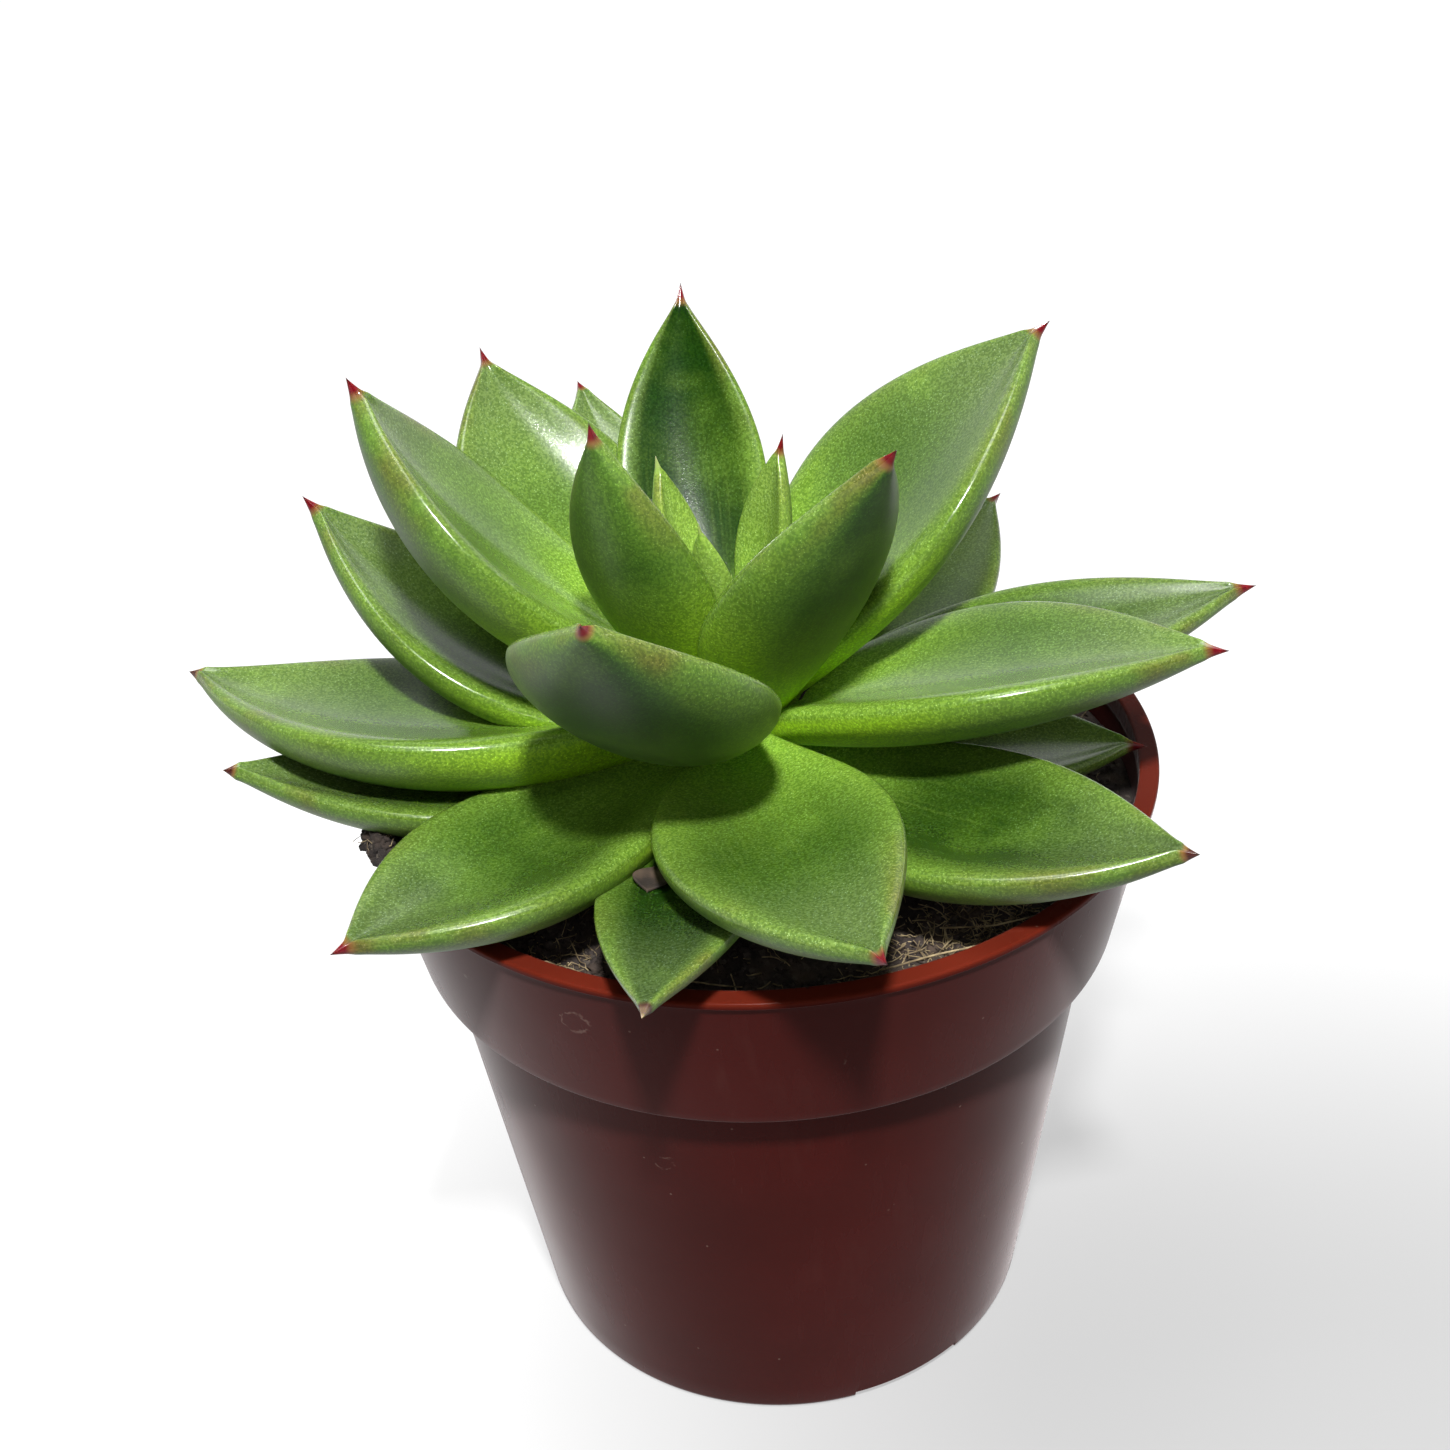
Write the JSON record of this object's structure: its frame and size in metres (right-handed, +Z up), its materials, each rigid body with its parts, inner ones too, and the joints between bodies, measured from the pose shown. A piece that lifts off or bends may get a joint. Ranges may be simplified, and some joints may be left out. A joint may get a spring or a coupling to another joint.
{
  "type": "potted miranda echeveria",
  "caption": "Small potted echeveria: a loose rosette of thick, hollowed, point-tipped leaves on a short stem, in a filled round nursery pot with a stepped collar and a rolled rim.",
  "frame": {"origin": "centre of the pot's underside, on the surface that it stands on", "axes": "+Z up the pot's axis, -Y towards the viewer of the picture, +X to that viewer's right"},
  "size_m": [0.138, 0.1216, 0.1459],
  "materials": {
    "pot_plastic": "satin, moulded",
    "potting_soil": "coarse, matt",
    "stem_skin": "smooth, dull",
    "leaf_skin": "waxy, satin"
  },
  "bodies": {
    "root": {"pot": "pot_plastic", "soil": "potting_soil", "stem": "stem_skin", "heart": "leaf_skin", "leaf_01": "leaf_skin", "leaf_02": "leaf_skin", "leaf_03": "leaf_skin", "leaf_04": "leaf_skin", "leaf_05": "leaf_skin", "leaf_06": "leaf_skin", "leaf_07": "leaf_skin", "leaf_08": "leaf_skin", "leaf_09": "leaf_skin", "leaf_10": "leaf_skin", "leaf_11": "leaf_skin", "leaf_12": "leaf_skin", "leaf_13": "leaf_skin", "leaf_14": "leaf_skin", "leaf_15": "leaf_skin", "leaf_16": "leaf_skin", "leaf_17": "leaf_skin", "leaf_18": "leaf_skin", "leaf_19": "leaf_skin", "leaf_20": "leaf_skin", "leaf_21": "leaf_skin", "leaf_22": "leaf_skin", "leaf_23": "leaf_skin"}
  },
  "joints": []
}
